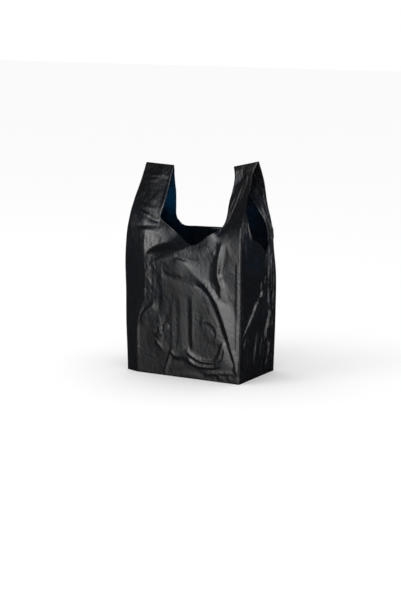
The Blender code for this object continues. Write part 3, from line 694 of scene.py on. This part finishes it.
def drawn_relief(panel, across, t):
    """The creases and folds that were placed one by one, in metres."""
    creases = [[(x, y, height) for x, y in line] for height, line in FRONT_CREASES_MM]
    front = Relief(FRONT_WIDTH_MM, creases, FRONT_DEPTH).at(across, t)
    front *= np.interp(t, HANDLE_FADE_MM, [1.0, HANDLE_CREASE_SHARE])
    front += standing_folds(across, t, FRONT_FOLDS_MM)
    right = Relief(GUSSET_WIDTH_MM, RIGHT_CREASES_MM, RIGHT_DEPTH, RIGHT_SINK_MM).at(across, t)
    right += standing_folds(across, t, RIGHT_FOLDS_MM)
    return np.where(panel == FRONT, front, np.where(panel == RIGHT, right, 0)) / 1000


def body_facets(panel, across, s, t):
    """The small creases of the body, calm on the front and flat along the folds and the foot."""
    width = np.where((panel == FRONT) | (panel == BACK), FRONT_WIDTH_MM, GUSSET_WIDTH_MM)
    near_fold = ramp(across, EDGE_FADE_MM) * ramp(width - across, EDGE_FADE_MM)
    out = np.where(panel == FRONT, 0, facets(s, t, *LARGE_FACETS))
    out += facets(s, t, *MIDDLE_FACETS) * np.where(panel == FRONT, FRONT_MIDDLE_SHARE, 1.0)
    out *= near_fold
    out += facets(s, t, *SMALL_FACETS)
    return out * ramp(t, EDGE_FADE_MM) * ramp(BODY_TOP_MM - t, FOOT_FADE_MM)


def rough_facets(panel, across, s, t):
    """The crumpled patches of the front and the right gusset."""
    front = patches(across, t, FRONT_ROUGH) * facets(s, t, *FRONT_ROUGH_FACETS)
    right = patches(across, t, RIGHT_ROUGH) * facets(s, t, *RIGHT_ROUGH_FACETS)
    return np.where(panel == FRONT, front, np.where(panel == RIGHT, right, 0))


def handle_facets(panel, s, t):
    out = facets(s, t, *HANDLE_FACETS) + facets(s, t, *SMALL_HANDLE_FACETS)
    out *= np.where(panel == RIGHT, RIGHT_HANDLE_SHARE, 1.0)
    return out * ramp(t - HANDLE_FOOT_MM, FOOT_FADE_MM) * ramp(WELD_TOP_MM - t, HANDLE_WELD_FADE_MM)


def film_relief(pattern):
    """How far each place of the film stands out from its guides, in metres."""
    s, t = np.meshgrid(pattern.s * 1000, pattern.t * 1000)
    panel = np.searchsorted(pattern.panel_starts, np.arange(pattern.count), side="right") - 1
    across = s - pattern.s[np.array(pattern.panel_starts)[panel]] * 1000
    curl = np.exp(-(edge_distance(pattern) / CURL_REACH_MM) ** 2) * CURL_HEIGHT
    curl *= CURL_MEAN + facets(s, t, *CURL_WAVES)
    out = (drawn_relief(panel, across, t) + curl) * ramp(WELD_TOP_MM - t, EDGE_FADE_MM)
    out += body_facets(panel, across, s, t) + rough_facets(panel, across, s, t)
    return out + handle_facets(panel, s, t)


def cut_heights(pattern):
    """Where the die cut ends the film: for each strip of columns in a cut, t at its two sides."""
    tops = {}
    for panel, cut in CUTS:
        places, heights = np.array(cut).T
        first, last = [pattern.column_at(panel, place) for place, t in (cut[0], cut[-1])]
        for column in range(first, last):
            tops[column] = [np.interp(pattern.s[c] - pattern.panel_start(panel), places, heights)
                            for c in (column, column + 1)]
    return tops


def film_faces(pattern, tops):
    """The faces of the film round the tube. Each is a list of grid places (row, column)."""
    faces = []
    for column in range(pattern.count):
        beside = (column + 1) % pattern.count
        limit = tops.get(column, (WELD_TOP, WELD_TOP))
        top, top_beside = [min(ROWS, int(round(value / ROW_STEP))) for value in limit]
        for row in range(min(top, top_beside)):
            faces.append([(row, column), (row, beside), (row + 1, beside), (row + 1, column)])
        for row in range(top_beside, top):
            faces.append([(row, column), (top_beside, beside), (row + 1, column)])
        for row in range(top, top_beside):
            faces.append([(top, column), (row, beside), (row + 1, beside)])
    return faces


def snap_to_cut(pattern, tops):
    """How far up each place of the grid moves to lie on the die cut."""
    snap = np.zeros((ROWS + 1, pattern.count))
    for column, limit in tops.items():
        for c, value in ((column, limit[0]), (column + 1, limit[1])):
            if c in tops and c - 1 in tops:
                row = int(round(value / ROW_STEP))
                snap[row, c] = value - pattern.t[row]
    return snap


def face_normals(points, faces):
    """The normal at each point, from the faces round it."""
    normals = np.zeros_like(points)
    corners = np.array([face if len(face) == 4 else face + face[2:] for face in faces])
    across = points[corners[:, 2]] - points[corners[:, 0]]
    up = points[corners[:, 3]] - points[corners[:, 1]]
    size = np.cross(across, up)
    for corner in range(4):
        np.add.at(normals, corners[:, corner], size)
    return normals / np.maximum(np.linalg.norm(normals, axis=1), 1e-12)[:, None]


def base_polygons(pattern, number, points, places):
    """The base, at half the wall's fineness. It adds its own points and returns its faces."""
    starts = pattern.panel_starts
    wide, deep = starts[1] // 2, (starts[2] - starts[1]) // 2
    ring = pattern.points[0]

    def on_ring(i, k):
        if k == 0:
            return 2 * i
        if i == wide:
            return starts[1] + 2 * k
        if k == deep:
            return starts[2] + wide - i
        return (starts[3] + deep - k) % pattern.count

    corners = [ring[on_ring(i, k)] for i, k in ((0, 0), (wide, 0), (wide, deep), (0, deep))]
    grid = {}
    for i in range(wide + 1):
        for k in range(deep + 1):
            if i in (0, wide) or k in (0, deep):
                grid[i, k] = number[0, on_ring(i, k)]
                continue
            u, v = i / wide, k / deep
            point = (1 - v) * ring[on_ring(i, 0)] + v * ring[on_ring(i, deep)]
            point = point + (1 - u) * ring[on_ring(0, k)] + u * ring[on_ring(wide, k)]
            point = point - ((1 - u) * (1 - v) * corners[0] + u * (1 - v) * corners[1]
                             + u * v * corners[2] + (1 - u) * v * corners[3])
            grid[i, k] = len(points)
            points.append(point)
            places.append((u * FRONT_WIDTH, -v * GUSSET_WIDTH))
    faces = []
    for i in range(wide):
        for k in range(deep):
            face = [grid[i, k], grid[i, k + 1], grid[i + 1, k + 1]]
            if i == wide - 1:
                face.append(number[0, starts[1] + 2 * k + 1])
            face.append(grid[i + 1, k])
            if k == 0:
                face.append(number[0, 2 * i + 1])
            faces.append(face)
    return faces


def lay_pattern(mesh, places):
    """UVs from the flat pattern. A face across the seam takes its start as the tube's end."""
    layer = mesh.uv_layers.new(name="pattern")
    corner_points = np.empty(len(mesh.loops), int)
    mesh.loops.foreach_get("vertex_index", corner_points)
    loop_totals = np.empty(len(mesh.polygons), int)
    mesh.polygons.foreach_get("loop_total", loop_totals)
    uv = np.array(places)[corner_points]
    at_start = uv[:, 0] < SEAM_START
    owner = np.repeat(np.arange(len(loop_totals)), loop_totals)
    near_end = np.zeros(len(loop_totals), bool)
    np.logical_or.at(near_end, owner, uv[:, 0] > SEAM_END)
    uv[at_start & near_end[owner], 0] += TUBE_ROUND
    layer.data.foreach_set("uv", uv.ravel())


def new_object(name, data):
    thing = bpy.data.objects.new(name, data)
    bpy.context.scene.collection.objects.link(thing)
    return thing


def carrier_bag_film(material):
    """The whole bag as one closed, thin-walled piece."""
    pattern = Pattern()
    soften_between_folds(pattern)
    tops = cut_heights(pattern)
    faces = film_faces(pattern, tops)
    snap = snap_to_cut(pattern, tops)
    pattern.points += snap[:, :, None] * np.gradient(pattern.points, ROW_STEP, axis=0)
    used = np.zeros(snap.shape, bool)
    for face in faces:
        for place in face:
            used[place] = True
    number = -np.ones(used.shape, int)
    number[used] = np.arange(used.sum())
    points = [tuple(point) for point in pattern.points[used]]
    s, t = np.meshgrid(pattern.s, pattern.t)
    places = [tuple(place) for place in np.stack([s, t + snap], axis=2)[used]]
    walls = [[number[place] for place in face] for face in faces]
    bottom = base_polygons(pattern, number, points, places)
    points = np.array([tuple(point) for point in points])
    normals = face_normals(points, walls)
    relief = film_relief(pattern)[used]
    points[:len(relief)] += normals[:len(relief)] * relief[:, None]
    points[:, 2] = np.maximum(points[:, 2], 0.0)

    mesh = bpy.data.meshes.new("carrier_bag_film")
    polygons = [[int(index) for index in face] for face in walls + bottom]
    mesh.from_pydata([tuple(point) for point in points], [], polygons)
    lay_pattern(mesh, places)
    mesh.materials.append(material)
    mesh.shade_smooth()
    mesh.update()
    film = new_object("carrier_bag_film", mesh)
    wall = film.modifiers.new("film wall", "SOLIDIFY")
    wall.thickness = FILM_WALL
    wall.offset = -1.0
    return film


# The film's look. Each crumple has its cells per metre across and up, and its height in metres. The
# warp bends their edges by up to about half its length, in metres.
FILM_COLOR = (0.0056, 0.0058, 0.0066, 1.0)
FILM_IOR = 1.54
PLY_COLOR = (0.012, 0.40, 1.0, 1.0)
CRUMPLES = [((85.0, 48.0), 0.0003), ((190.0, 120.0), 0.00038), ((420.0, 300.0), 0.00018)]
WARP = 0.012


def new_material(name):
    material = bpy.data.materials.new(name)
    material.use_nodes = True
    return material, material.node_tree


def fill(tree, node, inputs):
    """Give each of these inputs of a node its value, or a link from another node's output."""
    for name, value in inputs.items():
        if isinstance(value, bpy.types.NodeSocket):
            tree.links.new(value, node.inputs[name])
        else:
            node.inputs[name].default_value = value
    return node


def new_node(tree, kind, inputs, **settings):
    node = tree.nodes.new("ShaderNode" + kind)
    for name, value in settings.items():
        setattr(node, name, value)
    return fill(tree, node, inputs)


def math_node(tree, operation, *values):
    return new_node(tree, "Math", dict(enumerate(values)), operation=operation).outputs[0]


def noise_range(tree, place, scale, detail, spread, low, high):
    """Noise that runs from low to high over this spread round its middle."""
    noise = new_node(tree, "TexNoise", {"Vector": place, "Scale": scale, "Detail": detail})
    ends = {"From Min": 0.5 - spread, "From Max": 0.5 + spread, "To Min": low, "To Max": high}
    return new_node(tree, "MapRange", {"Value": noise.outputs["Fac"], **ends}).outputs["Result"]


def mixed(tree, share, first, second):
    """Two shaders mixed, with this share of the second one."""
    return new_node(tree, "MixShader", {"Fac": share, 1: first, 2: second}).outputs["Shader"]


def crumple(tree, place, scale, height):
    """Creased cells over the film: each cell slopes up to its straight edges."""
    stretch = new_node(tree, "Mapping", {"Vector": place, "Scale": (*scale, 1.0)})
    cells = new_node(tree, "TexVoronoi", {"Vector": stretch.outputs["Vector"], "Scale": 1.0},
                     voronoi_dimensions="2D")
    return math_node(tree, "MULTIPLY", cells.outputs["Distance"], height)


def film_bump(tree, place):
    """The film's finest crumple, stronger in some places than in others."""
    warp = new_node(tree, "TexNoise", {"Vector": place, "Scale": 70.0, "Detail": 2.0})
    bend = {0: warp.outputs["Color"], 1: (WARP, WARP, 0.0), 2: place}
    bent = new_node(tree, "VectorMath", bend, operation="MULTIPLY_ADD").outputs["Vector"]
    coarse, middle, fine = [crumple(tree, bent, scale, height) for scale, height in CRUMPLES]
    strength = noise_range(tree, place, scale=16.0, detail=1.0, spread=0.12, low=0.35, high=1.0)
    height = math_node(tree, "MULTIPLY", math_node(tree, "ADD", coarse, middle), strength)
    height = math_node(tree, "ADD", height, fine)
    bump = new_node(tree, "Bump", {"Strength": 1.0, "Distance": 1.0, "Height": height})
    return bump.outputs["Normal"]


def film_material():
    """Thin black film: soft gloss, fine crinkles, a little light through a single ply."""
    material, tree = new_material("black_film")
    place = new_node(tree, "UVMap", {}, uv_map="pattern").outputs["UV"]
    gloss = fill(tree, tree.nodes["Principled BSDF"], {
        "Base Color": FILM_COLOR,
        "IOR": FILM_IOR,
        "Roughness": noise_range(tree, place, scale=45.0, detail=3.0, spread=0.2, low=0.10, high=0.17),
        "Normal": film_bump(tree, place)})
    glow = new_node(tree, "BsdfTranslucent", {"Color": PLY_COLOR})
    through = noise_range(tree, place, scale=17.0, detail=3.0, spread=0.15, low=0.003, high=0.035)
    ply = mixed(tree, through, gloss.outputs["BSDF"], glow.outputs["BSDF"])
    # The inner faces of the wall are clear, so that light crosses one film and not two
    clear = new_node(tree, "BsdfTransparent", {})
    side = new_node(tree, "NewGeometry", {})
    ply = mixed(tree, side.outputs["Backfacing"], ply, clear.outputs["BSDF"])
    fill(tree, tree.nodes["Material Output"], {"Surface": ply})
    return material


def matt_material(name, level):
    """A grey without gloss, for the stage."""
    material, tree = new_material(name)
    color = (level, level, level, 1.0)
    fill(tree, tree.nodes["Principled BSDF"],
         {"Base Color": color, "Roughness": 1.0, "Specular IOR Level": 0.0})
    return material


# What the film's gloss sees: light by azimuth, and by angle above the floor's plane
AZIMUTH_LIGHT = [(-180, .4), (-150, .4), (-122, .1), (-116, .7), (-105, .7), (-98, .05), (-71, .05),
                 (-67, .17), (-62, .17), (-57, .05), (-45, .05), (-39, .42), (-32, .85), (-22, 1.7),
                 (-10, 3.3), (2, 5), (16, 5.6), (32, 4.4), (44, 1.9), (56, .15), (75, .05), (94, .05),
                 (99, 1.8), (106, 3.2), (120, 3.2), (126, .02), (150, .015), (168, .04), (180, .4)]
HEIGHT_LIGHT = [(-90, .04), (-56, .05), (-40, .15), (-28, .45), (-16, .9), (-8, 1.25), (4, 1.8),
                (16, 2.2), (28, 1.9), (42, .9), (60, .25), (90, .15)]
LIGHT_LEVEL = 0.43
RAMP_TOP = 8.0


def light_ramp(tree, source, stops, low, high):
    """A colour ramp over angles from low to high. RAMP_TOP brings its levels below 1."""
    node = new_node(tree, "ValToRGB", {"Fac": source})
    elements = node.color_ramp.elements
    for index, (angle, level) in enumerate(stops):
        position = (angle - low) / (high - low)
        element = elements[index] if index < 2 else elements.new(position)
        element.position = position
        value = level / RAMP_TOP
        element.color = (value, value, value, 1.0)
    return node.outputs["Color"]


def reflector_material():
    """The soft boxes and dark cards round the bag, as its gloss sees them."""
    material, tree = new_material("reflector_card")
    tree.nodes.remove(tree.nodes["Principled BSDF"])
    place = new_node(tree, "TexCoord", {}).outputs["Object"]
    direction = new_node(tree, "VectorMath", {0: place}, operation="NORMALIZE").outputs["Vector"]
    parts = new_node(tree, "SeparateXYZ", {"Vector": direction}).outputs
    ahead = math_node(tree, "MULTIPLY", parts["Y"], -1.0)
    turn = math_node(tree, "ARCTAN2", parts["X"], ahead)
    turn = math_node(tree, "MULTIPLY_ADD", turn, 0.5 / math.pi, 0.5)
    height = math_node(tree, "ARCSINE", parts["Z"])
    height = math_node(tree, "MULTIPLY_ADD", height, 1.0 / math.pi, 0.5)
    by_turn = light_ramp(tree, turn, AZIMUTH_LIGHT, -180, 180)
    by_height = light_ramp(tree, height, HEIGHT_LIGHT, -90, 90)
    level = math_node(tree, "MULTIPLY", by_turn, by_height)
    level = math_node(tree, "MULTIPLY", level, RAMP_TOP * RAMP_TOP * LIGHT_LEVEL)
    glow = new_node(tree, "Emission", {"Strength": level})
    fill(tree, tree.nodes["Material Output"], {"Surface": glow.outputs["Emission"]})
    material.cycles.emission_sampling = "NONE"
    return material


# The camera, fitted to the bag's three corners on the floor in the photo
CAMERA_TURN = 29.92
CAMERA_RISE = 10.68
CAMERA_DISTANCE = 3.808
CAMERA_TARGET = (0.0042, 0.0, 0.1603)
PHOTO_HEIGHT_PIXELS = 601
FOCAL_PIXELS = 1700.0
SENSOR_HEIGHT_MM = 24.0
# The stage
FLOOR_REACH = 12.0
FLOOR_LEVEL = 0.955
SCREEN_RADIUS = 2.0
SCREEN_MIDDLE = (0.0, 0.0, 0.15)
DARK_CARD = [(-0.5, 0.1, 0.0), (0.5, 0.1, 0.0), (0.5, 0.1, 0.405), (0.06, 0.1, 0.405),
             (0.03, 0.1, 0.345), (-0.5, 0.1, 0.345)]
FLAG = [(0.12, -0.103, 0.37), (0.17, -0.073, 0.345), (0.25, -0.025, 0.27), (0.25, -0.025, 0.44),
        (0.12, -0.103, 0.44)]
KEY_PLACE = (-1.1, -1.7, 2.2)
KEY_AIM = (0.0, 0.0, 0.1)
KEY_SIZE = 1.2
KEY_POWER = 14.0


def add_camera():
    data = bpy.data.cameras.new("camera")
    data.sensor_fit = "VERTICAL"
    data.sensor_height = SENSOR_HEIGHT_MM
    data.lens = FOCAL_PIXELS / PHOTO_HEIGHT_PIXELS * data.sensor_height
    data.clip_end = 100.0
    camera = new_object("camera", data)
    turn, rise = math.radians(CAMERA_TURN), math.radians(CAMERA_RISE)
    away = Vector((math.sin(turn) * math.cos(rise), -math.cos(turn) * math.cos(rise), math.sin(rise)))
    camera.location = Vector(CAMERA_TARGET) + away * CAMERA_DISTANCE
    camera.rotation_euler = away.to_track_quat("Z", "Y").to_euler()
    bpy.context.scene.camera = camera


def flat_card(name, outline, material):
    """A stage piece with one face."""
    mesh = bpy.data.meshes.new(name)
    mesh.from_pydata(outline, [], [tuple(range(len(outline)))])
    mesh.materials.append(material)
    return new_object(name, mesh)


def hide_but_for(card, glossy=False, transmission=False):
    """Hide a stage piece from every ray but the ones named."""
    card.visible_camera = False
    card.visible_diffuse = False
    card.visible_glossy = glossy
    card.visible_transmission = transmission
    card.visible_volume_scatter = False
    card.visible_shadow = False


def add_floor():
    reach = FLOOR_REACH
    outline = [(-reach, -reach, 0), (reach, -reach, 0), (reach, reach, 0), (-reach, reach, 0)]
    floor = flat_card("floor", outline, matt_material("pale_floor", FLOOR_LEVEL))
    floor.visible_glossy = False


def add_reflector():
    """A round screen of soft boxes and dark cards that only the film's gloss sees."""
    ball = bmesh.new()
    bmesh.ops.create_uvsphere(ball, u_segments=64, v_segments=32, radius=SCREEN_RADIUS)
    bmesh.ops.reverse_faces(ball, faces=ball.faces)
    mesh = bpy.data.meshes.new("reflector")
    ball.to_mesh(mesh)
    ball.free()
    mesh.materials.append(reflector_material())
    screen = new_object("reflector", mesh)
    screen.location = SCREEN_MIDDLE
    hide_but_for(screen, glossy=True)


def add_dark_card():
    """A dark card close behind the bag: it keeps light from shining through the body's film."""
    card = flat_card("dark_card", DARK_CARD, matt_material("dark_card", 0.0))
    hide_but_for(card, transmission=True)


def add_flag():
    """A dark card right of the right handle. The handle's back layer mirrors it and stays dark."""
    card = flat_card("flag", FLAG, bpy.data.materials["dark_card"])
    hide_but_for(card, glossy=True)


def add_lights():
    world = bpy.data.worlds.new("studio")
    world.use_nodes = True
    background = world.node_tree.nodes["Background"]
    background.inputs["Color"].default_value = (1.0, 1.0, 1.0, 1.0)
    background.inputs["Strength"].default_value = 1.0
    bpy.context.scene.world = world
    data = bpy.data.lights.new("key", "AREA")
    data.shape = "SQUARE"
    data.size = KEY_SIZE
    data.energy = KEY_POWER
    key = new_object("key", data)
    key.location = KEY_PLACE
    key.rotation_euler = (Vector(KEY_PLACE) - Vector(KEY_AIM)).to_track_quat("Z", "Y").to_euler()
    key.visible_glossy = False


add_camera()
add_floor()
add_reflector()
add_dark_card()
add_flag()
add_lights()
bpy.context.scene.view_settings.view_transform = "Standard"

film = carrier_bag_film(film_material())
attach(film, "root")
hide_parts("carrier_bag")
